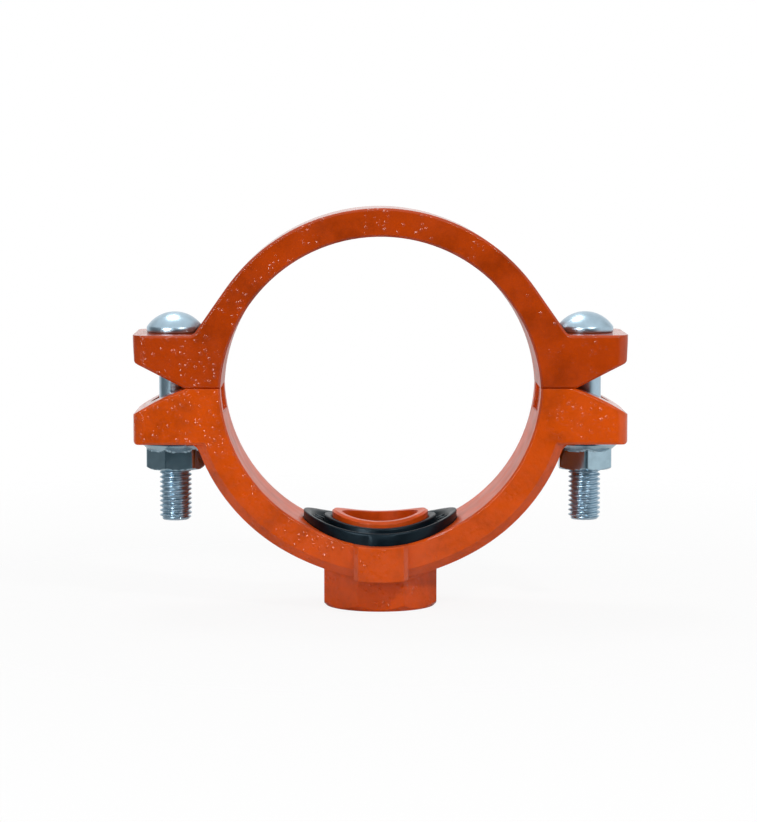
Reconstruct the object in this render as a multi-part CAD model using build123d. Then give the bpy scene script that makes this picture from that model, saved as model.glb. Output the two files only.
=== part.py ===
from build123d import *
import math
import os

# Threaded-outlet mechanical tee: two cast saddle halves clamp a steel run pipe, and a
# rubber saddle gasket seals the hole cut in the pipe to a threaded side outlet.
#
# Frame: X across the bolts, Y along the run pipe, Z up. The outlet points down (-Z).
# The origin is where the outlet axis meets the parting plane of the two castings.
# All sizes are in millimetres.

# Run pipe and outlet
PIPE_DIAMETER = 114.3           # steel run pipe, nominal 100
PIPE_CLEARANCE = 0.85           # radial room between the pipe and the castings
OUTLET_THREAD_MAJOR = 33.2      # 1 inch female pipe thread, across its roots
OUTLET_THREAD_LENGTH = 19.0
THREAD_MOUTH_CHAMFER = 1.2

# Castings
CASTING_DEPTH = 42.0            # along the pipe
STRAP_WALL = 10.3
STRAP_BORE_DROP = 3.2           # strap bore centre below the parting plane
STRAP_EDGE = 0.8                # bevel of the strap's rims
OUTLET_WALL = 12.2
OUTLET_BORE_RISE = 1.7          # outlet half's bore centre above the parting plane
OUTLET_EDGE = 3.2               # bevel of the outlet half's rims
BORE_EDGE = 0.7

# Bolt ears
BOLT_SPACING = 150.6
EAR_REACH = 14.3                # bolt axis to the ear's end
EAR_END_ROUND = 5.0             # plan rounding of the ear's end
STRAP_EAR_TOP = 19.3
STRAP_EAR_END = 9.8             # height of the ear's outer end
OUTLET_EAR_BOTTOM = 20.3
OUTLET_EAR_END = 10.8
LANDING_WIDTH = 12.4            # width of the flat face on which the two halves meet
SHOULDER_ANGLE = 35.0           # where the strap's outside leaves its arc for a straight flank
EAR_END_DRAFT = 0.6             # lean of the strap ears' ends
EAR_CROWN = 0.42                # share of the outlet ears' fall that is left at half reach
EAR_EDGE = 0.8
CROOK_ROUND = 2.5               # hollow between the strap's flank and its ear
TOE_ROUND = 1.6
HEEL_ROUND = 4.0                # between the strap ear's slope and its landing
WEB_SIZE = 3.0                  # hollow between the outlet ear and its ring

# Track-head bolts and flange nuts, M12
BOLT_DIAMETER = 11.7
BOLT_LENGTH = 69.0              # under the head
BOLT_POINT_CHAMFER = 1.2
HEAD_DIAMETER = 20.6
HEAD_RIM = 2.0
HEAD_HEIGHT = 7.6
HEAD_UNDERCUT = 0.5
NECK_LENGTH = 7.0
NECK_EXTRA = 0.9                # the oval neck is this much wider than the shank
NECK_OVAL = 4.4                 # and its long way, across the pipe, this much longer again
HOLE_CLEARANCE = 0.5            # radial room for neck and shank in the ears
SEAT_CLEARANCE = 0.7            # radial room round heads and nut flanges where they near the ring
NUT_ACROSS_FLATS = 19.0
NUT_HEIGHT = 10.6
NUT_FLANGE_DIAMETER = 25.0
NUT_FLANGE_RIM = 1.3
NUT_FLANGE_HEIGHT = 3.9
NUT_CHAMFER_ANGLE = 30.0
NUT_BORE_CLEARANCE = 0.05
LEFT_NUT_TURN = -19.5           # degrees that each nut happens to stand at
RIGHT_NUT_TURN = 30.0

# Outlet: pad, boss, collar and gasket
PAD_RADIUS = 30.0
PAD_BLEND = 45.0                # hollow curves between the pad and the ring, seen from above
PANEL_WIDTH = 16.4
PANEL_BEVEL = 1.6
PANEL_STEP = 2.4                # the flat panels stand this far in front of the pad
PANEL_DROP = 0.4                # and this far below it
BOSS_ACROSS_FLATS = 41.2
BOSS_SIDES = 8
BOSS_DROP = 81.3                # boss end below the parting plane
BOSS_CHAMFER = 0.6
BOSS_FILLET = 3.0
COLLAR_DIAMETER = 35.3
COLLAR_BORE = 28.0
COLLAR_EDGE = 0.9
COLLAR_STAND = 7.5              # collar top above the bore surface
GASKET_DIAMETER = 56.4
GASKET_STAND = 2.9              # gasket outer lip above the bore surface
GASKET_LIP = 4.8                # gasket inner lip above the bore surface
LIP_WIDTH = 2.6
GROOVE_HEIGHT = 1.0             # the groove's floor above the bore surface
GASKET_SEAT = 3.4               # pocket floor below the bore surface
GASKET_CLEARANCE = 0.2          # radial room round the gasket in its pocket
SEAL_GAP = 0.02                 # the gasket's underside above the pocket floor

# Relief pockets inside the outlet half, just under the parting plane
RELIEF_DEPTH = 1.2
RELIEF_HEIGHT = 9.5
RELIEF_SPAN = 26.0

bore_radius = PIPE_DIAMETER / 2 + PIPE_CLEARANCE
strap_outer = bore_radius + STRAP_WALL
outlet_outer = bore_radius + OUTLET_WALL
half_depth = CASTING_DEPTH / 2
bolt_x = BOLT_SPACING / 2
ear_x = bolt_x + EAR_REACH
landing_x = bore_radius + LANDING_WIDTH
strap_centre = -STRAP_BORE_DROP
outlet_centre = OUTLET_BORE_RISE
pocket_radius = GASKET_DIAMETER / 2 + GASKET_CLEARANCE
panel_front = PAD_RADIUS + PANEL_STEP
gasket_bore = COLLAR_DIAMETER + 2 * GASKET_CLEARANCE
neck_width = BOLT_DIAMETER + NECK_EXTRA
neck_span = neck_width + NECK_OVAL
boss_corner = BOSS_ACROSS_FLATS / 2 / math.cos(math.pi / BOSS_SIDES)
REACH = 4 * bore_radius         # longer than any cut needs to be
PAST = 1.0                      # how far cuts and cores run past the faces they meet
NEAR = 0.05                     # edges and corners this close to a place are at it


def pipe_cylinder(radius, centre_z, length=REACH):
    """A cylinder along the run pipe, centred at the given height."""
    return Pos(0, 0, centre_z) * Rot(90, 0, 0) * Cylinder(radius, length)


def ear_plan(low_z, high_z):
    """The round-ended bar that both ears are cut to, seen from above."""
    bar = RectangleRounded(2 * ear_x, CASTING_DEPTH, EAR_END_ROUND)
    return Pos(0, 0, low_z) * extrude(bar, high_z - low_z)


def along_pipe(outline, half_length):
    """Carry an XZ outline along the pipe, both ways from the middle."""
    return extrude(Plane.XZ * outline, half_length, both=True)


def ear_slots(low_z, high_z):
    """The long holes in both ears; they let the bolts swing as the halves close."""
    slot = SlotOverall(neck_span + 2 * HOLE_CLEARANCE, neck_width + 2 * HOLE_CLEARANCE)
    hole = extrude(slot, high_z - low_z)
    return [Pos(x, 0, low_z) * hole for x in (-bolt_x, bolt_x)]


def strap_outline():
    """The strap in XZ: arc, straight flanks, ears and landings, less the bore."""
    angle = math.radians(SHOULDER_ANGLE)
    shoulder_x = strap_outer * math.cos(angle)
    shoulder_z = strap_centre + strap_outer * math.sin(angle)
    flank_x = shoulder_x + (shoulder_z - STRAP_EAR_TOP) * math.tan(angle)
    crook = (flank_x, STRAP_EAR_TOP)
    toe = (ear_x - EAR_END_DRAFT, STRAP_EAR_TOP - STRAP_EAR_END)
    heel = (landing_x, 0)
    right = Polyline((shoulder_x, shoulder_z), crook, (ear_x, STRAP_EAR_TOP), toe, heel, (0, 0))
    crown = (0, strap_centre + strap_outer)
    arc = ThreePointArc((-shoulder_x, shoulder_z), crown, (shoulder_x, shoulder_z))
    face = make_face(Curve() + [arc, right, mirror(right, Plane.YZ)])
    face -= Pos(0, strap_centre) * Circle(bore_radius)
    for corner, radius in ((crook, CROOK_ROUND), (toe, TOE_ROUND), (heel, HEEL_ROUND)):
        face = fillet(corners_at(face, corner), radius)
    return face


def corners_at(face, point):
    """The face's corner at this point, and its mirror image on the other ear."""
    return face.vertices().filter_by(
        lambda v: abs(abs(v.X) - point[0]) < NEAR and abs(v.Y - point[1]) < NEAR
    )


def rims(body):
    """The outline edges of a casting's flat front and back faces."""
    edges = ShapeList()
    for face in body.faces().filter_by(Axis.Y).sort_by(SortBy.AREA)[-2:]:
        edges += face.outer_wire().edges()
    return edges


def seats(diameter, low_z, high_z):
    """Round spot-faces on both bolt axes, where a head or a nut clears the ring."""
    face = extrude(Circle(diameter / 2 + SEAT_CLEARANCE), high_z - low_z)
    return [Pos(x, 0, low_z) * face for x in (-bolt_x, bolt_x)]


def strap_housing():
    body = along_pipe(strap_outline(), half_depth)
    body = chamfer(rims(body), STRAP_EDGE) & ear_plan(-PAST, REACH)
    body -= ear_slots(-PAST, STRAP_EAR_TOP + PAST)
    return body - seats(HEAD_DIAMETER, STRAP_EAR_TOP, strap_outer)


def outlet_plan():
    """The outlet half from above: a bar that swells, through hollow curves, into a round pad."""
    plan = Rectangle(2 * outlet_outer + CASTING_DEPTH, CASTING_DEPTH) + Circle(PAD_RADIUS)
    necks = plan.vertices().filter_by(lambda v: abs(v.X) < PAD_RADIUS)
    return fillet(necks, PAD_BLEND)


def rim_edges(body, radius):
    """A body's front and back edges on a cylinder about the outlet half's bore axis."""
    def on_rim(edge):
        middle = edge @ 0.5
        off = math.hypot(middle.X, middle.Z - outlet_centre) - radius
        return abs(off) < NEAR and abs(middle.Y) > half_depth - NEAR

    return body.edges().filter_by(on_rim)


def outlet_arms():
    """The half ring with its pad: the plan cut to the ring's section, its rims bevelled."""
    block = Pos(0, 0, -REACH) * extrude(outlet_plan(), REACH)
    block &= pipe_cylinder(outlet_outer, outlet_centre)
    block = chamfer(rim_edges(block, outlet_outer), OUTLET_EDGE)
    block -= pipe_cylinder(bore_radius, outlet_centre)
    return chamfer(rim_edges(block, bore_radius), BORE_EDGE)


def panels():
    """A flat panel with sloped sides on the front and the back of the pad."""
    panel = Box(PANEL_WIDTH + 2 * PANEL_BEVEL, 2 * panel_front, outlet_outer)
    panel = chamfer(panel.edges().filter_by(Axis.Z), PANEL_STEP, PANEL_BEVEL)
    panel = Pos(0, 0, -outlet_outer / 2) * panel
    panel &= pipe_cylinder(outlet_outer + PANEL_DROP, outlet_centre)
    return panel - pipe_cylinder(bore_radius, outlet_centre)


def outlet_ears():
    """Both ears of the outlet half: gently crowned on top, flat underneath."""
    end_z = OUTLET_EAR_END - OUTLET_EAR_BOTTOM
    middle = ((landing_x + ear_x) / 2, end_z * EAR_CROWN)
    root_x = bore_radius + BORE_EDGE
    toe = (ear_x, -OUTLET_EAR_BOTTOM)
    top = ThreePointArc((landing_x, 0), middle, (ear_x, end_z))
    rest = Polyline((ear_x, end_z), toe, (root_x, toe[1]), (root_x, 0), (landing_x, 0))
    outline = make_face(Curve() + [top, rest])
    outline = fillet(corners_at(outline, toe), TOE_ROUND)
    right = along_pipe(outline, half_depth)
    outside = rims(right).filter_by(lambda edge: edge.center().X > strap_outer)
    right = chamfer(outside, EAR_EDGE) & ear_plan(-REACH, 0)
    return right + mirror(right, Plane.YZ)


def ear_webs():
    """Hollow-curved webs that ease each ear's underside into the ring."""
    drop = OUTLET_EAR_BOTTOM + outlet_centre
    corner_x = math.sqrt(outlet_outer**2 - drop**2)
    low = drop + WEB_SIZE
    start = (corner_x + WEB_SIZE, -OUTLET_EAR_BOTTOM)
    end = (math.sqrt(outlet_outer**2 - low**2), outlet_centre - low)
    hollow = TangentArc(start, end, tangent=(-1, 0))
    top_z = start[1] + PAST
    back = Polyline(end, (bore_radius, end[1]), (bore_radius, top_z), (start[0], top_z), start)
    web = along_pipe(make_face(Curve() + [hollow, back]), half_depth - OUTLET_EDGE)
    return web + mirror(web, Plane.YZ)


def saddle(radius, low, high):
    """The part of an upright cylinder between two distances from the outlet half's bore axis."""
    core = Pos(0, 0, -high - bore_radius) * extrude(Circle(radius), high + bore_radius)
    core &= pipe_cylinder(high, outlet_centre)
    return core - pipe_cylinder(low, outlet_centre)


def boss():
    """Octagonal boss with its corners turned off at the end."""
    half = BOSS_ACROSS_FLATS / 2
    octagon = RegularPolygon(half, BOSS_SIDES, major_radius=False, rotation=180 / BOSS_SIDES)
    height = BOSS_DROP - bore_radius
    body = extrude(octagon, height) & extrude(Circle(half - BOSS_CHAMFER), height, taper=-45)
    return Pos(0, 0, -BOSS_DROP) * body


def boss_root(body):
    """The edges where the boss meets the ring's outside."""
    def at_root(edge):
        middle = edge @ 0.5
        off = math.hypot(middle.X, middle.Z - outlet_centre) - outlet_outer
        return abs(off) < NEAR and math.hypot(middle.X, middle.Y) < boss_corner + NEAR

    return body.edges().filter_by(at_root)


def outlet_passage():
    """Everything bored out of the outlet: throat, thread and the thread's mouth."""
    throat = Pos(0, 0, -BOSS_DROP) * extrude(Circle(COLLAR_BORE / 2), BOSS_DROP)
    thread = Pos(0, 0, -BOSS_DROP) * extrude(Circle(OUTLET_THREAD_MAJOR / 2), OUTLET_THREAD_LENGTH)
    mouth_radius = OUTLET_THREAD_MAJOR / 2 + THREAD_MOUTH_CHAMFER
    mouth = Pos(0, 0, -BOSS_DROP) * extrude(Circle(mouth_radius), THREAD_MOUTH_CHAMFER, taper=45)
    return throat + thread + mouth


def collar():
    """The short spigot that locates the outlet in the hole cut in the pipe."""
    spigot = saddle(COLLAR_DIAMETER / 2, bore_radius - COLLAR_STAND, bore_radius + GASKET_SEAT + PAST)
    return chamfer(spigot.edges().filter_by(lambda edge: edge.center().Z > -bore_radius), COLLAR_EDGE)


def relief_pockets():
    """Shallow pockets inside both ends of the outlet half, just under the parting plane."""
    cut = pipe_cylinder(bore_radius + RELIEF_DEPTH, outlet_centre, RELIEF_SPAN)
    return cut & Pos(0, 0, -RELIEF_HEIGHT / 2) * Box(REACH, REACH, RELIEF_HEIGHT)


def outlet_housing():
    body = outlet_arms() + boss()
    body = fillet(boss_root(body), BOSS_FILLET) + panels() + ear_webs() + outlet_ears()
    body -= saddle(pocket_radius, bore_radius - PAST, bore_radius + GASKET_SEAT)
    body -= relief_pockets()
    body -= ear_slots(-OUTLET_EAR_BOTTOM - PAST, PAST)
    body -= seats(NUT_FLANGE_DIAMETER, -outlet_outer, -OUTLET_EAR_BOTTOM)
    body += collar()
    return body - outlet_passage()


def gasket():
    """Saddle gasket: two standing lips with a shallow groove between them, in one moulding."""
    floor = bore_radius + GASKET_SEAT - SEAL_GAP
    outer = saddle(GASKET_DIAMETER / 2, bore_radius - GASKET_STAND, floor)
    groove_radius = GASKET_DIAMETER / 2 - LIP_WIDTH
    groove = saddle(groove_radius, bore_radius - GASKET_STAND - PAST, bore_radius - GROOVE_HEIGHT)
    lip = saddle(gasket_bore / 2 + LIP_WIDTH, bore_radius - GASKET_LIP, floor)
    hole = Pos(0, 0, -REACH / 2) * Cylinder(gasket_bore / 2, REACH)
    return outer - groove + lip - hole


def bolt_head():
    """A round head: a straight rim under a dome that is one arc."""
    half = HEAD_DIAMETER / 2
    rise = HEAD_HEIGHT - HEAD_RIM
    dome_radius = (half**2 + rise**2) / (2 * rise)
    sweep = math.degrees(math.asin(half / dome_radius))
    dome = CenterArc((0, HEAD_HEIGHT - dome_radius), dome_radius, 90 - sweep, sweep)
    underside = ((0, 0), (half - HEAD_UNDERCUT, 0), (half, HEAD_UNDERCUT))
    foot = Polyline((0, HEAD_HEIGHT), *underside, (half, HEAD_RIM))
    return revolve(Plane.XZ * make_face(Curve() + [dome, foot]), Axis.Z)


def bolt(x):
    """Track-head bolt: a domed round head, an oval neck and a plain round shank."""
    neck = Pos(0, 0, -NECK_LENGTH) * extrude(SlotOverall(neck_span, neck_width), NECK_LENGTH)
    shank = Pos(0, 0, -BOLT_LENGTH) * extrude(Circle(BOLT_DIAMETER / 2), BOLT_LENGTH)
    shank = chamfer(shank.edges().group_by(Axis.Z)[0], BOLT_POINT_CHAMFER)
    return Pos(x, 0, STRAP_EAR_TOP) * (bolt_head() + neck + shank)


def nut(x, turn):
    """Hexagon nut with a coned flange against the ear."""
    hexagon = RegularPolygon(NUT_ACROSS_FLATS / 2, 6, major_radius=False, rotation=turn)
    body = Pos(0, 0, -NUT_HEIGHT) * extrude(hexagon, NUT_HEIGHT)
    turned = extrude(Circle(NUT_ACROSS_FLATS / 2), NUT_HEIGHT, taper=NUT_CHAMFER_ANGLE - 90)
    body &= Pos(0, 0, -NUT_HEIGHT) * turned
    rim = Pos(0, 0, -NUT_FLANGE_RIM) * extrude(Circle(NUT_FLANGE_DIAMETER / 2), NUT_FLANGE_RIM)
    cone_height = NUT_FLANGE_HEIGHT - NUT_FLANGE_RIM
    cone = Pos(0, 0, -NUT_FLANGE_RIM - cone_height / 2) * Cone(
        NUT_ACROSS_FLATS / 2, NUT_FLANGE_DIAMETER / 2, cone_height
    )
    bore = Cylinder(BOLT_DIAMETER / 2 + NUT_BORE_CLEARANCE, 2 * (NUT_HEIGHT + PAST))
    return Pos(x, 0, -OUTLET_EAR_BOTTOM) * (body + rim + cone - bore)


PARTS = {
    "outlet_housing": outlet_housing(),
    "strap_housing": strap_housing(),
    "gasket": gasket(),
    "left_bolt": bolt(-bolt_x),
    "right_bolt": bolt(bolt_x),
    "left_nut": nut(-bolt_x, LEFT_NUT_TURN),
    "right_nut": nut(bolt_x, RIGHT_NUT_TURN),
}

os.makedirs("parts", exist_ok=True)
for name, piece in PARTS.items():
    piece.label = name
    export_step(piece, f"parts/{name}.step")
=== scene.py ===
import math

import bpy
import numpy as np
from bpy.props import FloatProperty, FloatVectorProperty, PointerProperty
from mathutils import Euler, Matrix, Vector


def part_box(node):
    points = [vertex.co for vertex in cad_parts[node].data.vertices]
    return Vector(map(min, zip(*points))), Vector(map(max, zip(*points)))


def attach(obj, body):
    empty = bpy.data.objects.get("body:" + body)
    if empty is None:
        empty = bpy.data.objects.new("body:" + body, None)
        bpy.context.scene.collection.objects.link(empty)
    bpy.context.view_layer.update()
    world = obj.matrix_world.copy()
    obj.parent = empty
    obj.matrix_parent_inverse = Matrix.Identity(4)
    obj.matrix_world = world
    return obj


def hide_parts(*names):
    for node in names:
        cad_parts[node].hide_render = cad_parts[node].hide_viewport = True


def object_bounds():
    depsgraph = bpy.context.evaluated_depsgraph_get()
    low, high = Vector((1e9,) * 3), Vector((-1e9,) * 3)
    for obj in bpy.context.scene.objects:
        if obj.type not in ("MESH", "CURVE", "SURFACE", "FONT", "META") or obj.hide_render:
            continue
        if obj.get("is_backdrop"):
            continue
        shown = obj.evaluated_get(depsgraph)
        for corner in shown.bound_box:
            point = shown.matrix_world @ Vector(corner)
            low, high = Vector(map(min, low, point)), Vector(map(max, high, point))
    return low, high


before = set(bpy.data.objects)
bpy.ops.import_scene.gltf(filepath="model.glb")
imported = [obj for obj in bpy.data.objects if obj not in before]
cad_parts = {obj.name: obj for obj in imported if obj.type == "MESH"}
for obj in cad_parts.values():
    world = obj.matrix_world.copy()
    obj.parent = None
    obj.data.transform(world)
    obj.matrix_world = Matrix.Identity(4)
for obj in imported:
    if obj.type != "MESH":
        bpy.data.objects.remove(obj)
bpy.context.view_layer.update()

bl_info = {
    "name": "Mechanical tee looks",
    "version": (1, 0, 0),
    "blender": (4, 5, 0),
    "location": "View3D > Sidebar > Tee",
    "description": "Builds the paint, rubber, bolts, nuts and studio of a bolted branch outlet",
    "category": "Object",
}

MM = 0.001
TURN = 2 * math.pi

# How finely the new surfaces are drawn
BOLT_COLUMNS = 96
NUT_COLUMNS = 144
GASKET_COLUMNS = 288
OUTLET_THREAD_COLUMNS = 128
FLOOR_COLUMNS = 64
ROWS_PER_PITCH = 10
DOME_ROWS = 24                  # over a bolt's round head
DOME_START = 0.04               # share of the dome's arc inside the first row
EDGE_ROWS = 5                   # round the edge under it
NUT_ROWS = (5, 9, 26)           # on a nut's flange rim, on its cone and on its hexagon
PROFILE_STEPS = 5               # along each rounded corner of the gasket's section

# The castings' bore for the run pipe: its radius, and its centres above the parting plane
RUN_BORE_MM = 58.0
OUTLET_BORE_RISE_MM = 1.7
STRAP_BORE_RISE_MM = -3.2

# Threads: shares of half a pitch that are flat at the root and that slope. The rest is the crest
ROOT_FLAT = 0.16
FLANK = 0.70
THREAD_RUNOUT = 2               # pitches over which a bolt's thread fades in
SLEEVE_INSIDE = 0.02 * MM       # how far the outlet's thread sleeve stands in front of the wall
SLEEVE_BEHIND = 0.3 * MM        # how far its back lies behind the wall

# The gasket's section
LIP_WIDTH = 2.6 * MM
OUTER_LIP_LEAN = 0.5 * MM       # how far each lip's side leans out into the groove
INNER_LIP_LEAN = 0.4 * MM
FOOT_ROUND = 0.3 * MM
LIP_ROUND = 0.8 * MM
GROOVE_ROUND = 0.5 * MM
THROAT_ROUND = 0.7 * MM
RIBS = 24                       # small ribs across the groove
RIB_START = 0.55                # cosine round a rib at which it starts to rise
RIB_FLANK = 0.3                 # further change of that cosine up to its full height
GROOVE_BAND = 0.02 * MM         # points this close to the groove's floor carry the ribs
WALL_BAND = 0.05 * MM           # points this close to the outer wall carry the tab
TAB_FOOT = 0.2 * MM             # the tab's lower end, above the bore surface
TAB_CENTRE = 0.6 * MM           # the tab's middle, to the right of the outlet axis

# Where the CAD puts the pieces: the outlet axis and the parting plane cross at the origin
BOLT_X = {side: sum(corner.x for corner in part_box(side + "_bolt")) / 2 for side in ("left", "right")}
NUT_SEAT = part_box("left_nut")[1].z
BOSS_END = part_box("outlet_housing")[0].z

# Cast surface under the paint: noises as scale per metre, detail and roughness
CLUSTER_NOISE = (60.0, 3.0)
GRIT_NOISE = (1900.0, 2.0, 0.6)
WAVE_NOISE = (240.0, 2.0)
TONE_NOISE = (55.0, 6.0, 0.7)
GLOSS_NOISE = (130.0, 2.0)
GRIT_HEIGHT = 0.22              # share of the relief
COARSE_SIDE = (0.02, -0.06)     # X, in metres, where the coarser left side starts and is full
COARSE_LEAN = 0.17              # how much the clusters gain there
CLUSTER_BAND = (0.50, 0.64, 0.05)       # noise where clusters start and are full, and the least
PIMPLE_BAND = (0.52, 0.0)               # cell distance at a pimple's foot and at its top
CHOSEN_BAND = (0.15, 0.85, 0.1)         # random value of the lowest and the tallest pimples
BORE_BAND = (0.0001, 0.0008, 0.03)      # metres off the bore's wall, and the relief left in it

# Enamel
THIN_PAINT = 0.74               # share of the colour where the paint is thin
THICK_PAINT = 1.16
BORE_DULLER = 0.25              # roughness that the bore adds
ENAMEL_SPECULAR = 0.36

# Zinc and rubber: colours, roughnesses and the scale of the drawn streaks
BOLT_ZINC = ((0.40, 0.54, 0.64), 0.30, (900.0, 900.0, 160.0))
NUT_ZINC = ((0.36, 0.50, 0.58), 0.16, (500.0, 500.0, 500.0))
ZINC_DULL = 0.86                # share of the colour in the zinc's clouds
RUBBER_DARK = (0.001, 0.004, 0.007)
RUBBER_BLOOM = (0.003, 0.009, 0.014)
RUBBER_GLOSS = (0.30, 0.42)
RUBBER_SPECULAR = 0.20
RUBBER_SHEEN = (0.60, 0.84, 1.0, 1)

# Faces that meet at more than this keep a crisp edge
BOLT_CREASE = math.radians(40)
NUT_CREASE = math.radians(25)

# The tent as glossy surfaces see it: white above, behind and on the right, a little light on
# the left, and a dim open front with one small bright panel in it. Each pair says how far a
# direction leans to that side where the white starts and where it is full
WHITE_ABOVE = (0.20, 0.75)
WHITE_BEHIND = (0.20, 0.80)
WHITE_RIGHT = (0.45, 0.90)
LIT_LEFT = (-0.45, -0.80)
LEFT_SHARE = 0.16               # of full white, at the far left
ROOM_DIM = (0.018, 0.042, 0.054)
PANEL_AIM = (-0.46, -0.78, 0.36)
PANEL_POWER = 15.0
PANEL_OUTER = math.cos(math.radians(11))
PANEL_INNER = math.cos(math.radians(8))

# Floor: ring radii in metres, colour, the distances from its middle at which it starts to fade
# and is gone, and how much of it glows by itself to the camera
FLOOR_RINGS = (0.0001, 0.3, 0.7, 1.4)
FLOOR_TINT = (0.78, 0.78, 0.78, 1)
FLOOR_FADE = (0.14, 0.45)
FLOOR_GLOW = 0.90

# Lamps: place and width in metres. All aim at the tee's middle
LAMPS = {
    "key": ((0.40, -0.70, 0.62), 0.12),
    "fill": ((-0.60, -0.80, 0.20), 0.20),
    "high": ((-0.15, 0.35, 0.85), 0.30),
}

# Camera: its place and reach in metres, and in degrees how far it looks down and turns left
CAMERA_PLACE = (-0.0102, -1.0994, 0.0881)
CAMERA_REACH = 20
CAMERA_DOWN = 5.09
CAMERA_TURN = -0.5


# ---------------------------------------------------------------- settings

def length_of(name, description, value_mm, low_mm=0.0):
    """A length property, written in millimetres and kept in metres."""
    return FloatProperty(name=name, description=description, default=value_mm * MM,
                         min=low_mm * MM, unit="LENGTH", precision=5)


def colour_of(name, description, value):
    """A colour property."""
    return FloatVectorProperty(name=name, description=description, default=value,
                               size=3, min=0.0, max=1.0, subtype="COLOR")


def share_of(name, description, value):
    """A property between 0 and 1."""
    return FloatProperty(name=name, description=description, default=value,
                         min=0.0, max=1.0, subtype="FACTOR")


def angle_of(name, description, degrees):
    """An angle property, written in degrees and kept in radians."""
    return FloatProperty(name=name, description=description, default=math.radians(degrees),
                         subtype="ANGLE")


class TeePaintSettings(bpy.types.PropertyGroup):
    """Enamel and cast surface of both castings."""
    outlet_colour: colour_of("Outlet half", "Enamel on the lower casting", (0.645, 0.076, 0.0003))
    strap_colour: colour_of("Strap half", "Enamel on the upper casting", (0.46, 0.048, 0.0004))
    grain: length_of("Grain", "Size of the cast pimples under the paint", 1.7)
    relief: length_of("Relief", "Height of the cast pimples under the paint", 0.30)
    gloss: share_of("Roughness", "Roughness of the enamel", 0.13)
    edge: length_of("Edge round", "Rounding of the painted edges", 0.45)
    bore: length_of("Bore", "Radius of the smoother bore", RUN_BORE_MM)
    outlet_bore: length_of("Outlet bore centre", "Above the parting plane", OUTLET_BORE_RISE_MM, -10)
    strap_bore: length_of("Strap bore centre", "Above the parting plane", STRAP_BORE_RISE_MM, -10)


class TeeBoltSettings(bpy.types.PropertyGroup):
    """Sizes of a track-head bolt."""
    diameter: length_of("Diameter", "Across the thread crests", 11.7)
    length: length_of("Length", "Under the head", 69.0)
    pitch: length_of("Pitch", "Distance between thread crests", 1.75)
    thread_depth: length_of("Thread depth", "Crest to root", 0.95)
    thread_length: length_of("Thread length", "Threaded stretch up from the bolt's point", 34.0)
    point_chamfer: length_of("Point chamfer", "Bevel of the bolt's point", 1.2)
    head_diameter: length_of("Head diameter", "Across the round head", 20.6)
    head_rim: length_of("Head rim", "Height of the straight rim under the dome", 2.0)
    head_height: length_of("Head height", "Seat to the top of the dome", 7.6)
    head_edge: length_of("Head edge", "Rounding under the rim", 0.6)
    neck_length: length_of("Neck length", "Length of the oval neck below the head", 7.0)
    neck_width: length_of("Neck width", "The oval neck's short way", 12.6)
    neck_span: length_of("Neck span", "The oval neck's long way", 17.0)
    neck_edge: length_of("Neck edge", "Bevel of the neck's ends", 0.3)


class TeeNutSettings(bpy.types.PropertyGroup):
    """Sizes of a flanged nut, and how each nut happens to stand."""
    across_flats: length_of("Across flats", "Width of the hexagon", 19.0)
    height: length_of("Height", "Seat to the free face", 10.6)
    corner_share: FloatProperty(name="Corner share", default=1.135,
                                description="Rounded corners' radius, as a share of half the width")
    flange_diameter: length_of("Flange diameter", "Across the flange", 25.0)
    flange_rim: length_of("Flange rim", "Height of the flange's straight rim", 1.3)
    flange_edge: length_of("Flange edge", "Rounding of the flange's rim at its seat", 0.4)
    flange_height: length_of("Flange height", "Seat to the top of the flange's cone", 3.9)
    end_slope: angle_of("End slope", "Slope of the cone that trims the hexagon's free end", 60.0)
    clearance: length_of("Clearance", "Radial room on the bolt", 0.05)
    lead: length_of("Lead", "Bevel at both mouths of the bore", 0.5)
    left_turn: angle_of("Left turn", "How the left nut happens to stand", 11.5)
    right_turn: angle_of("Right turn", "How the right nut happens to stand", 30.0)


class TeeGasketSettings(bpy.types.PropertyGroup):
    """Sizes of the saddle gasket."""
    bore_radius: length_of("Run bore", "Radius of the casting's bore for the run pipe", RUN_BORE_MM)
    bore_rise: length_of("Bore rise", "Bore centre above the parting plane", OUTLET_BORE_RISE_MM)
    outer: length_of("Outer radius", "Outside of the gasket", 28.2)
    inner: length_of("Inner radius", "Inside of the gasket, round the collar", 17.85)
    seat: length_of("Seat", "Underside below the bore surface", 3.38)
    stand: length_of("Outer lip", "Outer lip above the bore surface", 2.9)
    lip: length_of("Inner lip", "Inner lip above the bore surface", 4.8)
    groove: length_of("Groove", "Groove floor above the bore surface", 1.0)
    rib: length_of("Rib", "Height of the small ribs across the groove", 1.3)
    tab: length_of("Tab", "Width of the raised tab on the front of the outer wall", 9.4)
    tab_stand: length_of("Tab stand", "How far the tab stands out of the wall", 0.3)
    front_rise: length_of("Front rise", "The outer lip stands this much taller front and back", 1.7)
    inner_rise: length_of("Inner rise", "The inner lip stands this much taller front and back", 0.6)


class TeeOutletSettings(bpy.types.PropertyGroup):
    """Sizes of the outlet's female thread."""
    major: length_of("Thread major", "Radius at the thread's roots", 16.6)
    depth: length_of("Thread depth", "Root to crest", 1.4)
    pitch: length_of("Pitch", "Eleven threads to the inch", 2.309)
    first: length_of("First turn", "Start of the thread above the boss end", 1.2)
    span: length_of("Span", "Height of the threaded stretch", 17.8)


class TeeStageSettings(bpy.types.PropertyGroup):
    """Camera lens, backdrop and lamps."""
    focal: FloatProperty(name="Focal length", description="Camera lens in millimetres", default=131.4)
    sky: FloatProperty(name="Sky", description="Brightness of the light tent", default=0.50)
    key: FloatProperty(name="Key", description="Power of the key lamp in watts", default=3.2)
    fill: FloatProperty(name="Fill", description="Power of the fill lamp in watts", default=1.6)
    high: FloatProperty(name="High", description="Power of the high lamp in watts", default=2.4)


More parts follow.
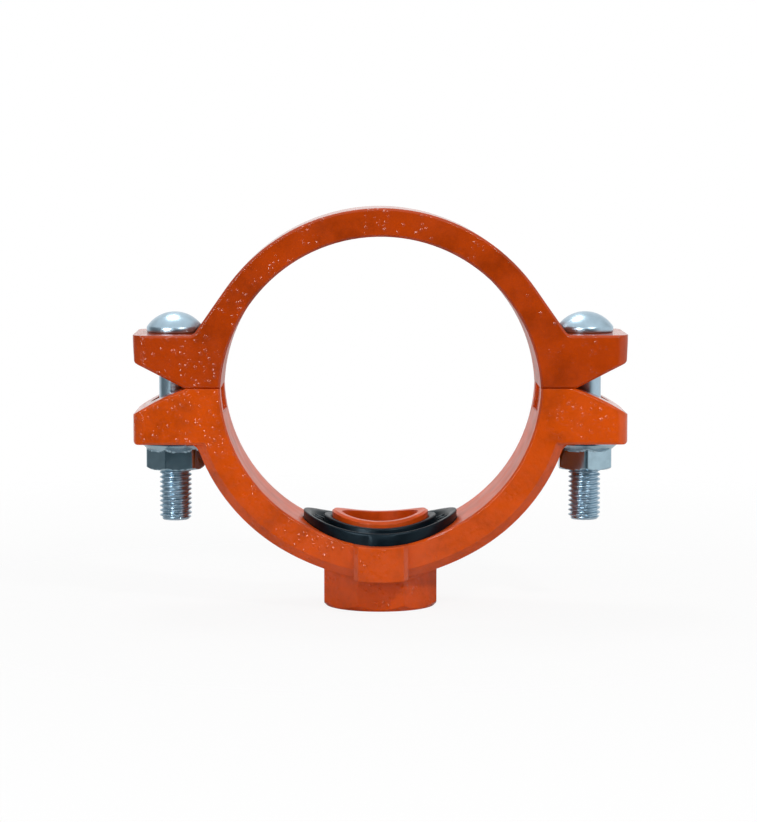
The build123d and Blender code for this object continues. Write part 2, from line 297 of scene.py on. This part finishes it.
class TeeSettings(bpy.types.PropertyGroup):
    """All settings of the tee."""
    paint: PointerProperty(type=TeePaintSettings)
    bolt: PointerProperty(type=TeeBoltSettings)
    nut: PointerProperty(type=TeeNutSettings)
    gasket: PointerProperty(type=TeeGasketSettings)
    outlet: PointerProperty(type=TeeOutletSettings)
    stage: PointerProperty(type=TeeStageSettings)


# ---------------------------------------------------------------- meshes

def grid_mesh(name, points, closed_rows=False, ends=(None, None), sharp=None):
    """A quad mesh over a grid of points shaped (rows, columns, 3).
    Columns wrap round, and so do closed rows. Each end point closes the first or last row by a fan.
    Faces that meet at more than the sharp angle keep a crisp edge; the rest is smooth."""
    rows, cols = points.shape[:2]
    index = np.arange(rows * cols).reshape(rows, cols)
    if closed_rows:
        index = np.concatenate([index, index[:1]])
    index = np.concatenate([index, index[:, :1]], axis=1)
    quads = np.stack([index[:-1, :-1], index[:-1, 1:], index[1:, 1:], index[1:, :-1]], axis=-1)
    faces = quads.reshape(-1, 4).tolist()
    verts = [points.reshape(-1, 3)]
    for end, row, flip in zip(ends, (0, -1), (True, False)):
        if end is None:
            continue
        tip = np.full(index.shape[1] - 1, rows * cols + len(verts) - 1)
        fan = np.stack([index[row, :-1], index[row, 1:], tip], axis=-1)
        faces += (fan[:, ::-1] if flip else fan).tolist()
        verts.append(np.array(end, float).reshape(1, 3))
    mesh = bpy.data.meshes.new(name)
    mesh.from_pydata(np.concatenate(verts).tolist(), [], faces)
    mesh.validate()
    mesh.shade_smooth()
    if sharp is not None:
        mesh.set_sharp_from_angle(angle=sharp)
    return mesh


def add_piece(name, mesh, material, body, slot, *nodes):
    """Put a finished mesh into the scene as a piece of the tee that rides on a body and replaces
    any CAD nodes named."""
    piece = bpy.data.objects.new(name, mesh)
    bpy.context.scene.collection.objects.link(piece)
    mesh.materials.append(material)
    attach(piece, body)
    if nodes:
        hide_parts(*nodes)


def round_grid(radius, height, angle, axis=(0.0, 0.0)):
    """Points at (radius, angle, height) about an upright axis: x = r cos a, y = r sin a."""
    radius, height, angle = np.broadcast_arrays(radius, height, angle)
    return np.stack([axis[0] + radius * np.cos(angle), axis[1] + radius * np.sin(angle), height], axis=-1)


def turns(count):
    """Evenly spaced angles round a full turn, as one row."""
    return np.linspace(0, TURN, count, endpoint=False)[None, :]


def smooth_step(value):
    """0 below 0, 1 above 1, and 3v^2 - 2v^3 between."""
    value = np.clip(value, 0, 1)
    return value * value * (3 - 2 * value)


def thread_wave(height, angle, pitch):
    """A right-hand thread's section, 0 at the root and 1 at the crest.
    The distance along the thread is height / pitch - angle / turn; its fraction is folded into
    a triangle wave, whose tips are cut flat for the crest and, a little wider, for the root."""
    along = height / pitch - angle / TURN
    triangle = np.abs(2 * (along - np.floor(along)) - 1)
    return smooth_step((triangle - ROOT_FLAT) / FLANK)


def oval_radius(width, span, angle):
    """Radius of a slot-shaped outline with its long way along X.
    Each end is a half circle about (+-a, 0): r = a |cos| + sqrt((w/2)^2 - (a sin)^2).
    Between them the sides are straight: r = (w/2) / |sin|."""
    half = width / 2
    shift = (span - width) / 2
    across = np.maximum(np.abs(np.sin(angle)), 1e-9)
    side = half / across
    end = shift * np.abs(np.cos(angle)) + np.sqrt(np.maximum(half**2 - (shift * across) ** 2, 0))
    return np.where(side * np.abs(np.cos(angle)) <= shift, side, end)


def bolt_points(bolt, axis_x, seat):
    """Track-head bolt as rows of radius over height, from the dome down to the point.
    Dome: an arc of radius R = (h^2 + rise^2) / 2 rise. Neck: an oval. Shank: a cylinder less a
    right-hand thread that fades in over its first turns, inside a cone that breaks the point."""
    angle = turns(BOLT_COLUMNS)
    half = bolt.head_diameter / 2
    rise = bolt.head_height - bolt.head_rim
    dome_radius = (half**2 + rise**2) / (2 * rise)
    slope = np.linspace(DOME_START, 1, DOME_ROWS)[:, None] * math.asin(half / dome_radius)
    head_r = [dome_radius * np.sin(slope)]
    head_z = [bolt.head_height - dome_radius * (1 - np.cos(slope))]
    edge = bolt.head_edge
    bend = np.linspace(0, math.pi / 2, EDGE_ROWS)[:, None]
    head_r.append(half - edge * (1 - np.cos(bend)))
    head_z.append(edge * (1 - np.sin(bend)))
    head_r, head_z = np.concatenate(head_r), np.concatenate(head_z)
    ones = np.ones_like(angle)
    neck_r = oval_radius(bolt.neck_width, bolt.neck_span, angle)
    shank = bolt.diameter / 2
    ease = bolt.neck_edge
    parts = [(head_r * ones, head_z * ones), (neck_r + ease, 0 * ones), (neck_r, -ease * ones)]
    parts.append((neck_r, (ease - bolt.neck_length) * ones))
    parts.append((neck_r - ease, -bolt.neck_length * ones))
    parts.append((shank * ones, -(bolt.neck_length + ease) * ones))
    start = bolt.length - bolt.thread_length
    rows = int(bolt.thread_length / bolt.pitch * ROWS_PER_PITCH)
    z = -np.linspace(start, bolt.length, rows)[:, None]
    fade = smooth_step((-z - start) / (THREAD_RUNOUT * bolt.pitch))
    cut = bolt.thread_depth * fade * (1 - thread_wave(z, angle, bolt.pitch))
    cone = shank - bolt.point_chamfer + (z + bolt.length)
    parts.append((np.minimum(shank - cut, cone), z * ones))
    radius = np.concatenate([np.atleast_2d(part[0]) for part in parts])
    height = np.concatenate([np.atleast_2d(part[1]) for part in parts]) + seat
    return round_grid(radius, height, angle, (axis_x, 0.0))


def nut_points(nut, bolt, axis_x, seat, turn):
    """Flanged hexagon nut as rows of radius over height, from the seat down and back up the bore.
    Outside: max(flange, min(hexagon, corner round, end cone)). The hexagon's radius is half its
    width over the cosine of the angle to the nearest flat. The bore is plain, with bevelled
    mouths: it clears the bolt's crests."""
    angle = turns(NUT_COLUMNS) + turn
    flat = np.mod(angle - turn, TURN / 6) - TURN / 12
    half = nut.across_flats / 2
    hexagon = np.minimum(half / np.cos(flat), half * nut.corner_share)
    depth = np.concatenate([
        np.linspace(0, nut.flange_rim, NUT_ROWS[0]),
        np.linspace(nut.flange_rim, nut.flange_height, NUT_ROWS[1])[1:],
        np.linspace(nut.flange_height, nut.height, NUT_ROWS[2])[1:],
    ])[:, None]
    rim = nut.flange_diameter / 2
    edge = nut.flange_edge
    rounded = rim - edge + np.sqrt(np.clip(edge**2 - np.maximum(edge - depth, 0) ** 2, 0, None))
    fall = np.clip((depth - nut.flange_rim) / (nut.flange_height - nut.flange_rim), 0, 1)
    flange = rounded - (rim - half) * fall
    end_cone = half + (nut.height - depth) * math.tan(nut.end_slope)
    outer = np.maximum(np.minimum(hexagon, end_cone), np.where(depth <= nut.flange_height, flange, 0))
    bore = bolt.diameter / 2 + nut.clearance
    ring = 0 * angle
    mouth_width = np.array([[nut.lead, 0.0]]).T
    mouth_depth = nut.height - np.array([[0.0, nut.lead]]).T
    rows = int(nut.height / bolt.pitch * ROWS_PER_PITCH)
    inside = np.linspace(nut.height - nut.lead, nut.lead, rows)[:, None]
    radius = np.concatenate([
        bore + nut.lead + ring, outer, bore + mouth_width + ring, bore + 0 * inside + ring])
    height = np.concatenate([ring, depth + ring, mouth_depth + ring, inside + ring])
    return round_grid(radius, seat - height, angle, (axis_x, 0.0))


def saddle_points(gasket, profile, angle):
    """A closed section of (radius, height over the bore) carried round the outlet axis.
    A point at (r, angle) with height h stands at x = r cos, y = r sin and
    z = centre - sqrt((bore - h)^2 - x^2), so that heights follow the run pipe's saddle."""
    radius, height = profile[..., 0], profile[..., 1]
    points = round_grid(radius, 0 * radius, angle)
    level = gasket.bore_radius - height
    points[..., 2] = gasket.bore_rise - np.sqrt(level**2 - points[..., 0] ** 2)
    return points


def rounded_profile(corners, rounds):
    """A closed outline through corners, each rounded by a curve that starts and ends the given
    distance from it: p = (1-t)^2 a + 2t(1-t) corner + t^2 b."""
    corners = np.array(corners, float)
    before, after = np.roll(corners, 1, axis=0), np.roll(corners, -1, axis=0)
    rounds = np.array(rounds, float)[:, None]
    start = corners + (before - corners) / np.linalg.norm(before - corners, axis=1)[:, None] * rounds
    end = corners + (after - corners) / np.linalg.norm(after - corners, axis=1)[:, None] * rounds
    t = np.linspace(0, 1, PROFILE_STEPS)[None, :, None]
    curve = (1 - t) ** 2 * start[:, None] + 2 * t * (1 - t) * corners[:, None] + t**2 * end[:, None]
    return curve.reshape(-1, 2)


def gasket_points(gasket):
    """The saddle gasket: an outer lip, a groove with small ribs across it, and a taller inner lip.
    Both lips rise by sin^2 of the angle towards the front and back, and a tab stands out of the
    front of the outer wall."""
    wide, narrow, width = gasket.outer, gasket.inner, LIP_WIDTH
    corners = [
        (wide, -gasket.seat), (wide, gasket.stand), (wide - width, gasket.stand),
        (wide - width - OUTER_LIP_LEAN, gasket.groove), (narrow + width + INNER_LIP_LEAN, gasket.groove),
        (narrow + width, gasket.lip), (narrow, gasket.lip), (narrow, -gasket.seat),
    ]
    rounds = [FOOT_ROUND, LIP_ROUND, LIP_ROUND, GROOVE_ROUND, GROOVE_ROUND, LIP_ROUND, THROAT_ROUND,
              FOOT_ROUND]
    section = rounded_profile(corners, rounds)[None]
    angle = turns(GASKET_COLUMNS).T
    profile = np.broadcast_to(section, (angle.size, *section.shape[1:])).copy()
    front = np.sin(angle) ** 2
    above = np.clip(profile[..., 1] / gasket.stand, 0, 1)
    inward = np.clip((wide - profile[..., 0]) / (wide - narrow - width), 0, 1)
    rib = smooth_step((np.cos(angle * RIBS) - RIB_START) / RIB_FLANK)
    on_floor = np.abs(profile[..., 1] - gasket.groove) < GROOVE_BAND
    profile[..., 1] += on_floor * rib * gasket.rib
    profile[..., 1] += front * above * (gasket.front_rise * (1 - inward) + gasket.inner_rise * inward)
    on_wall = (wide - profile[..., 0] < WALL_BAND) & (profile[..., 1] > TAB_FOOT)
    side = profile[..., 0] * np.cos(angle)
    tab = (np.abs(side - TAB_CENTRE) < gasket.tab / 2) * (np.sin(angle) < 0)
    profile[..., 0] += on_wall * tab * gasket.tab_stand
    return saddle_points(gasket, profile, angle)


def outlet_thread_points(outlet):
    """The outlet's female thread: a sleeve against the bore's wall whose inside carries the ridges.
    Both ends run out to the wall. r = major - depth * wave, faded over one pitch at each end."""
    angle = turns(OUTLET_THREAD_COLUMNS)
    rows = int(outlet.span / outlet.pitch * ROWS_PER_PITCH)
    z = np.linspace(0, outlet.span, rows)[:, None]
    fade = smooth_step(z / outlet.pitch) * smooth_step((outlet.span - z) / outlet.pitch)
    wall = outlet.major
    radius = wall - SLEEVE_INSIDE - outlet.depth * fade * thread_wave(z, angle, outlet.pitch)
    back = wall + SLEEVE_BEHIND + 0 * angle
    radius = np.concatenate([back, radius, back])
    height = np.concatenate([0 * angle, z + 0 * angle, outlet.span + 0 * angle])
    return round_grid(radius, BOSS_END + outlet.first + height, angle)


# ---------------------------------------------------------------- shader helpers

class Shader:
    """A new material's node tree, with short calls to add and join its nodes."""

    def __init__(self, name):
        self.material = bpy.data.materials.new(name)
        self.material.use_nodes = True
        self.tree = self.material.node_tree
        self.skin = self.tree.nodes["Principled BSDF"]
        self.place = self.tree.nodes.new("ShaderNodeTexCoord").outputs["Object"]

    def add(self, kind, **values):
        return add_node(self.tree, kind, **values)

    def join(self, start, end):
        self.tree.links.new(start, end)

    def ramp(self, factor, *stops):
        """A colour ramp from (position, colour) stops, fed by a factor."""
        node = self.add("ValToRGB")
        elements = node.color_ramp.elements
        while len(elements) < len(stops):
            elements.new(0.5)
        for element, (position, tint) in zip(elements, stops):
            element.position = position
            element.color = (*tint, 1)
        self.join(factor, node.inputs["Fac"])
        return node.outputs["Color"]

    def spread(self, factor, low, high, start=0.3, end=0.7):
        """Map a factor between start and end to a value between low and high."""
        node = self.add("MapRange", From_Min=start, From_Max=end, To_Min=low, To_Max=high)
        self.join(factor, node.inputs["Value"])
        return node.outputs["Result"]


def add_node(tree, kind, **values):
    """A node of this kind; each value sets a property of the node, or else a socket."""
    node = tree.nodes.new("ShaderNode" + kind)
    for key, value in values.items():
        if key in node.bl_rna.properties:
            setattr(node, key, value)
        else:
            node.inputs[key.replace("_", " ")].default_value = value
    return node


def new_group(name, inputs, outputs):
    """An empty shader group. inputs and outputs are (name, socket type, default) and (name, type)."""
    group = bpy.data.node_groups.new(name, "ShaderNodeTree")
    for label, kind, value in inputs:
        socket = group.interface.new_socket(name=label, in_out="INPUT", socket_type="NodeSocket" + kind)
        if value is not None:
            socket.default_value = value
    for label, kind in outputs:
        group.interface.new_socket(name=label, in_out="OUTPUT", socket_type="NodeSocket" + kind)
    return group, group.nodes.new("NodeGroupInput"), group.nodes.new("NodeGroupOutput")


# ---------------------------------------------------------------- materials

def cast_surface_group():
    """Painted sand casting: clustered pimples over slow waves, as a normal with rounded edges,
    and masks for tone, gloss and the smoother bore. The left side is the coarser one."""
    group, given, out = new_group(
        "cast_surface",
        [("Place", "Vector", None), ("Grain", "Float", 700.0), ("Relief", "Float", 0.0002),
         ("Edge", "Float", 0.0004), ("Bore centre", "Vector", None), ("Bore", "Float", 0.058)],
        [("Tone", "Float"), ("Gloss", "Float"), ("Bore dull", "Float"), ("Normal", "Vector")],
    )
    link = group.links.new
    place, grain, relief, edge = (given.outputs[label] for label in ("Place", "Grain", "Relief", "Edge"))
    centre, bore = given.outputs["Bore centre"], given.outputs["Bore"]

    def math_node(operation, first, second):
        node = add_node(group, "Math", operation=operation)
        for socket, value in zip(node.inputs, (first, second)):
            if isinstance(value, float):
                socket.default_value = value
            else:
                link(value, socket)
        return node.outputs["Value"]

    def noise(scale, detail, roughness=0.5):
        node = add_node(group, "TexNoise", Scale=scale, Detail=detail, Roughness=roughness)
        link(place, node.inputs["Vector"])
        return node.outputs["Fac"]

    def band(value, low, high, floor=0.0):
        """From floor at low to 1 at high, eased at both ends."""
        node = add_node(group, "MapRange", interpolation_type="SMOOTHSTEP", From_Min=low, From_Max=high,
                        To_Min=floor, To_Max=1.0)
        link(value, node.inputs["Value"])
        return node.outputs["Result"]

    cells = add_node(group, "TexVoronoi", Randomness=1.0)
    link(place, cells.inputs["Vector"])
    link(grain, cells.inputs["Scale"])
    split = add_node(group, "SeparateColor")
    link(cells.outputs["Color"], split.inputs["Color"])
    spot = add_node(group, "SeparateXYZ")
    link(place, spot.inputs["Vector"])
    coarse_side = band(spot.outputs["X"], *COARSE_SIDE)
    lean = math_node("MULTIPLY", coarse_side, COARSE_LEAN)
    clusters = band(math_node("ADD", noise(*CLUSTER_NOISE), lean), *CLUSTER_BAND)
    dome = band(cells.outputs["Distance"], *PIMPLE_BAND)
    chosen = band(split.outputs["Red"], *CHOSEN_BAND)
    pimples = math_node("MULTIPLY", math_node("MULTIPLY", dome, chosen), clusters)
    grit = math_node("MULTIPLY", noise(*GRIT_NOISE), GRIT_HEIGHT)
    total = math_node("ADD", math_node("ADD", pimples, grit), noise(*WAVE_NOISE))
    from_axis = add_node(group, "VectorMath", operation="SUBTRACT")
    link(place, from_axis.inputs[0])
    link(centre, from_axis.inputs[1])
    across = add_node(group, "VectorMath", operation="MULTIPLY")
    link(from_axis.outputs["Vector"], across.inputs[0])
    across.inputs[1].default_value = (1, 0, 1)
    away = add_node(group, "VectorMath", operation="LENGTH")
    link(across.outputs["Vector"], away.inputs[0])
    outside = band(math_node("SUBTRACT", away.outputs["Value"], bore), *BORE_BAND)
    link(math_node("SUBTRACT", 1.0, outside), out.inputs["Bore dull"])
    total = math_node("MULTIPLY", total, outside)
    rounding = add_node(group, "Bevel", samples=6)
    link(edge, rounding.inputs["Radius"])
    bump = add_node(group, "Bump", Strength=1.0)
    link(relief, bump.inputs["Distance"])
    link(total, bump.inputs["Height"])
    link(rounding.outputs["Normal"], bump.inputs["Normal"])
    link(bump.outputs["Normal"], out.inputs["Normal"])
    link(noise(*TONE_NOISE), out.inputs["Tone"])
    link(noise(*GLOSS_NOISE), out.inputs["Gloss"])
    return group


def enamel(name, base, paint, bore_centre):
    """Orange enamel over a sand casting: uneven tone, pimpled and glossy, smoother in the bore."""
    s = Shader(name)
    surface = s.tree.nodes.new("ShaderNodeGroup")
    surface.node_tree = bpy.data.node_groups.get("cast_surface") or cast_surface_group()
    surface.inputs["Grain"].default_value = 1.0 / paint.grain
    surface.inputs["Relief"].default_value = paint.relief
    surface.inputs["Edge"].default_value = paint.edge
    surface.inputs["Bore centre"].default_value = (0, 0, bore_centre)
    surface.inputs["Bore"].default_value = paint.bore
    s.join(s.place, surface.inputs["Place"])
    thin = [c * THIN_PAINT for c in base]
    thick = [min(1.0, c * THICK_PAINT) for c in base]
    shade = s.ramp(surface.outputs["Tone"], (0.34, thin), (0.50, base), (0.68, thick))
    s.join(shade, s.skin.inputs["Base Color"])
    gloss = s.spread(surface.outputs["Gloss"], paint.gloss * 0.7, paint.gloss * 1.5)
    duller = s.add("Math", operation="MULTIPLY_ADD")
    s.join(surface.outputs["Bore dull"], duller.inputs[0])
    duller.inputs[1].default_value = BORE_DULLER
    s.join(gloss, duller.inputs[2])
    s.join(duller.outputs["Value"], s.skin.inputs["Roughness"])
    s.join(surface.outputs["Normal"], s.skin.inputs["Normal"])
    s.skin.inputs["Specular IOR Level"].default_value = ENAMEL_SPECULAR
    return s.material


def zinc(name, tint, roughness, streaks):
    """Bright zinc plate: bluish metal with faint drawn streaks, clouds and uneven gloss."""
    s = Shader(name)
    stretch = s.add("Mapping", Scale=streaks)
    s.join(s.place, stretch.inputs["Vector"])
    drawn = s.add("TexNoise", Scale=1.0, Detail=3.0)
    s.join(stretch.outputs["Vector"], drawn.inputs["Vector"])
    clouds = s.add("TexNoise", Scale=260.0, Detail=4.0, Roughness=0.6)
    s.join(s.place, clouds.inputs["Vector"])
    dull = [c * ZINC_DULL for c in tint]
    s.join(s.ramp(clouds.outputs["Fac"], (0.32, dull), (0.62, tint)), s.skin.inputs["Base Color"])
    s.join(s.spread(drawn.outputs["Fac"], roughness * 0.94, roughness * 1.08), s.skin.inputs["Roughness"])
    bump = s.add("Bump", Strength=0.15, Distance=0.00001)
    s.join(clouds.outputs["Fac"], bump.inputs["Height"])
    s.join(bump.outputs["Normal"], s.skin.inputs["Normal"])
    s.skin.inputs["Metallic"].default_value = 1.0
    return s.material


def rubber(name):
    """Moulded black rubber with a cool sheen, a faint bloom and a fine grain."""
    s = Shader(name)
    bloom = s.add("TexNoise", Scale=240.0, Detail=4.0, Roughness=0.6)
    s.join(s.place, bloom.inputs["Vector"])
    shade = s.ramp(bloom.outputs["Fac"], (0.35, RUBBER_DARK), (0.70, RUBBER_BLOOM))
    s.join(shade, s.skin.inputs["Base Color"])
    s.join(s.spread(bloom.outputs["Fac"], *RUBBER_GLOSS), s.skin.inputs["Roughness"])
    grain = s.add("TexNoise", Scale=2600.0, Detail=2.0)
    s.join(s.place, grain.inputs["Vector"])
    bump = s.add("Bump", Strength=0.4, Distance=0.00003)
    s.join(grain.outputs["Fac"], bump.inputs["Height"])
    s.join(bump.outputs["Normal"], s.skin.inputs["Normal"])
    s.skin.inputs["Specular IOR Level"].default_value = RUBBER_SPECULAR
    s.skin.inputs["Specular Tint"].default_value = RUBBER_SHEEN
    return s.material


def dress(node, material):
    """Give a CAD node a better material."""
    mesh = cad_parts[node].data
    mesh.materials.clear()
    mesh.materials.append(material)


# ---------------------------------------------------------------- operators

class TEE_OT_castings(bpy.types.Operator):
    """Paint both castings"""
    bl_idname = "tee.castings"
    bl_label = "Castings"

    def execute(self, context):
        paint = context.scene.tee.paint
        for node, shade, centre in (("outlet_housing", paint.outlet_colour, paint.outlet_bore),
                                    ("strap_housing", paint.strap_colour, paint.strap_bore)):
            dress(node, enamel(node + "_enamel", shade, paint, centre))
        return {"FINISHED"}


class TEE_OT_outlet_thread(bpy.types.Operator):
    """Cut the female thread inside the outlet boss"""
    bl_idname = "tee.outlet_thread"
    bl_label = "Outlet thread"

    def execute(self, context):
        mesh = grid_mesh("outlet_thread", outlet_thread_points(context.scene.tee.outlet), closed_rows=True)
        material = bpy.data.materials["outlet_housing_enamel"]
        add_piece("outlet_thread", mesh, material, "outlet_half", "painted_casting")
        return {"FINISHED"}


class TEE_OT_gasket(bpy.types.Operator):
    """Make the rubber saddle gasket"""
    bl_idname = "tee.gasket"
    bl_label = "Gasket"

    def execute(self, context):
        mesh = grid_mesh("saddle_gasket", gasket_points(context.scene.tee.gasket), closed_rows=True)
        add_piece("saddle_gasket", mesh, rubber("gasket_rubber"), "outlet_half", "gasket_rubber", "gasket")
        return {"FINISHED"}


class TEE_OT_bolts(bpy.types.Operator):
    """Make the two track-head bolts with their threads"""
    bl_idname = "tee.bolts"
    bl_label = "Bolts"

    def execute(self, context):
        bolt = context.scene.tee.bolt
        metal = zinc("bolt_zinc", *BOLT_ZINC)
        for side, x in BOLT_X.items():
            node = side + "_bolt"
            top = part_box(node)[1].z
            points = bolt_points(bolt, x, top - bolt.head_height)
            tips = ((x, 0, top), (x, 0, points[-1, 0, 2]))
            mesh = grid_mesh(node + "_threaded", points, ends=tips, sharp=BOLT_CREASE)
            add_piece(node + "_threaded", mesh, metal, "strap_half", "zinc_steel", node)
        return {"FINISHED"}


class TEE_OT_nuts(bpy.types.Operator):
    """Make the two flanged hexagon nuts"""
    bl_idname = "tee.nuts"
    bl_label = "Nuts"

    def execute(self, context):
        tee = context.scene.tee
        metal = zinc("nut_zinc", *NUT_ZINC)
        for side, turn in (("left", tee.nut.left_turn), ("right", tee.nut.right_turn)):
            node = side + "_nut"
            points = nut_points(tee.nut, tee.bolt, BOLT_X[side], NUT_SEAT, turn)
            mesh = grid_mesh(node + "_flanged", points, closed_rows=True, sharp=NUT_CREASE)
            add_piece(node + "_flanged", mesh, metal, node + "_body", "zinc_steel", node)
        return {"FINISHED"}


def lamp(name, place, target, size, power):
    """A square soft lamp aimed at a point, in metres and watts."""
    data = bpy.data.lights.new(name, "AREA")
    data.shape = "SQUARE"
    data.size = size
    data.energy = power
    light = bpy.data.objects.new(name, data)
    bpy.context.scene.collection.objects.link(light)
    light.location = place
    light.rotation_euler = (Vector(target) - Vector(place)).to_track_quat("-Z", "Y").to_euler()


def backdrop_shader(tree, tint, strength):
    """A plain Background shader, which lights or shows the world in one colour."""
    node = tree.nodes.new("ShaderNodeBackground")
    if tint is not None:
        node.inputs["Color"].default_value = (*tint, 1)
    node.inputs["Strength"].default_value = strength
    return node


def light_tent(strength):
    """A white backdrop that lights the object evenly. Glossy rays see it white overhead, behind
    and on the right, and dim in front, as in a tent with an open front, with one bright panel."""
    world = bpy.data.worlds.new("light_tent")
    bpy.context.scene.world = world
    world.use_nodes = True
    tree = world.node_tree
    tree.nodes.remove(tree.nodes["Background"])
    link = tree.links.new
    rays = tree.nodes.new("ShaderNodeLightPath")
    way = tree.nodes.new("ShaderNodeTexCoord")
    split = tree.nodes.new("ShaderNodeSeparateXYZ")
    link(way.outputs["Generated"], split.inputs["Vector"])

    def rise(axis, low, high):
        node = add_node(tree, "MapRange", interpolation_type="SMOOTHSTEP", From_Min=low, From_Max=high)
        link(split.outputs[axis], node.inputs["Value"])
        return node.outputs["Result"]

    def larger(first, second):
        node = add_node(tree, "Math", operation="MAXIMUM")
        link(first, node.inputs[0])
        link(second, node.inputs[1])
        return node.outputs["Value"]

    def mix(factor, first, second):
        node = tree.nodes.new("ShaderNodeMixShader")
        link(factor, node.inputs["Fac"])
        link(first, node.inputs[1])
        link(second, node.inputs[2])
        return node.outputs["Shader"]

    left = add_node(tree, "Math", operation="MULTIPLY")
    link(rise("X", *LIT_LEFT), left.inputs[0])
    left.inputs[1].default_value = LEFT_SHARE
    white = larger(rise("Z", *WHITE_ABOVE), rise("Y", *WHITE_BEHIND))
    white = larger(larger(white, rise("X", *WHITE_RIGHT)), left.outputs["Value"])
    towards = add_node(tree, "VectorMath", operation="DOT_PRODUCT")
    link(way.outputs["Generated"], towards.inputs[0])
    towards.inputs[1].default_value = Vector(PANEL_AIM).normalized()
    panel = add_node(tree, "MapRange", interpolation_type="SMOOTHSTEP", From_Min=PANEL_OUTER,
                     From_Max=PANEL_INNER)
    link(towards.outputs["Value"], panel.inputs["Value"])
    power = add_node(tree, "Math", operation="MULTIPLY_ADD")
    link(panel.outputs["Result"], power.inputs[0])
    power.inputs[1].default_value = PANEL_POWER
    power.inputs[2].default_value = 1.0
    white = larger(white, panel.outputs["Result"])
    room = tree.nodes.new("ShaderNodeValToRGB")
    room.color_ramp.elements[0].color = (*ROOM_DIM, 1)
    room.color_ramp.elements[1].color = (1, 1, 1, 1)
    link(white, room.inputs["Fac"])
    lit = backdrop_shader(tree, (1, 1, 1), strength)
    mirrored = backdrop_shader(tree, None, 1.0)
    link(room.outputs["Color"], mirrored.inputs["Color"])
    link(power.outputs["Value"], mirrored.inputs["Strength"])
    seen = backdrop_shader(tree, (1, 1, 1), 1.0)
    shown = mix(rays.outputs["Is Glossy Ray"], lit.outputs["Background"], mirrored.outputs["Background"])
    direct = larger(rays.outputs["Is Camera Ray"], rays.outputs["Is Transmission Ray"])
    link(mix(direct, shown, seen.outputs["Background"]), tree.nodes["World Output"].inputs["Surface"])


def floor(height):
    """A pale round floor under the tee: near it the floor takes a soft shadow, and further out
    it fades into the white backdrop."""
    rings = np.array(FLOOR_RINGS)[:, None]
    mesh = grid_mesh("floor", round_grid(rings, height, turns(FLOOR_COLUMNS)))
    s = Shader("floor_paper")
    s.skin.inputs["Roughness"].default_value = 0.9
    s.skin.inputs["Specular IOR Level"].default_value = 0.1
    s.skin.inputs["Base Color"].default_value = FLOOR_TINT
    far = s.add("VectorMath", operation="LENGTH")
    s.join(s.place, far.inputs[0])
    fade = s.spread(far.outputs["Value"], 0.0, 1.0, *FLOOR_FADE)
    rays = s.tree.nodes.new("ShaderNodeLightPath")
    glow = s.add("Emission", Strength=1.0)
    pale = s.add("Math", operation="MULTIPLY")
    s.join(rays.outputs["Is Camera Ray"], pale.inputs[0])
    pale.inputs[1].default_value = FLOOR_GLOW
    lifted = s.add("MixShader")
    s.join(pale.outputs["Value"], lifted.inputs["Fac"])
    s.join(s.skin.outputs["BSDF"], lifted.inputs[1])
    s.join(glow.outputs["Emission"], lifted.inputs[2])
    mix = s.add("MixShader")
    s.join(fade, mix.inputs["Fac"])
    s.join(lifted.outputs["Shader"], mix.inputs[1])
    s.join(s.add("BsdfTransparent").outputs["BSDF"], mix.inputs[2])
    s.join(mix.outputs["Shader"], s.tree.nodes["Material Output"].inputs["Surface"])
    mesh.materials.append(s.material)
    piece = bpy.data.objects.new("floor", mesh)
    bpy.context.scene.collection.objects.link(piece)
    piece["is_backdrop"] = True


class TEE_OT_stage(bpy.types.Operator):
    """Set up the floor, lamps, backdrop and camera"""
    bl_idname = "tee.stage"
    bl_label = "Studio"

    def execute(self, context):
        stage = context.scene.tee.stage
        scene = context.scene
        scene.view_settings.view_transform = "Standard"
        low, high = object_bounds()
        floor(low.z)
        light_tent(stage.sky)
        middle = (low + high) / 2
        for name, (place, size) in LAMPS.items():
            lamp(name, place, middle, size, getattr(stage, name))
        data = bpy.data.cameras.new("camera")
        data.lens = stage.focal
        data.clip_end = CAMERA_REACH
        camera = bpy.data.objects.new("camera", data)
        scene.collection.objects.link(camera)
        camera.location = CAMERA_PLACE
        camera.rotation_euler = Euler((math.radians(90 - CAMERA_DOWN), 0, math.radians(CAMERA_TURN)))
        scene.camera = camera
        return {"FINISHED"}


class TEE_PT_panel(bpy.types.Panel):
    """The tee's pieces and stage, in the order that they are made"""
    bl_idname = "TEE_PT_panel"
    bl_label = "Mechanical tee"
    bl_space_type = "VIEW_3D"
    bl_region_type = "UI"
    bl_category = "Tee"

    def draw(self, context):
        for operator in OPERATORS:
            self.layout.operator(operator.bl_idname)


OPERATORS = (TEE_OT_castings, TEE_OT_outlet_thread, TEE_OT_gasket, TEE_OT_bolts, TEE_OT_nuts, TEE_OT_stage)
SETTINGS = (TeePaintSettings, TeeBoltSettings, TeeNutSettings, TeeGasketSettings, TeeOutletSettings,
            TeeStageSettings, TeeSettings)


def register():
    for cls in SETTINGS + OPERATORS + (TEE_PT_panel,):
        bpy.utils.register_class(cls)
    bpy.types.Scene.tee = PointerProperty(type=TeeSettings)


def unregister():
    del bpy.types.Scene.tee
    for cls in reversed(SETTINGS + OPERATORS + (TEE_PT_panel,)):
        bpy.utils.unregister_class(cls)


def main():
    register()
    for operator in OPERATORS:
        group, action = operator.bl_idname.split(".")
        getattr(getattr(bpy.ops, group), action)()


if __name__ == "__main__":
    main()
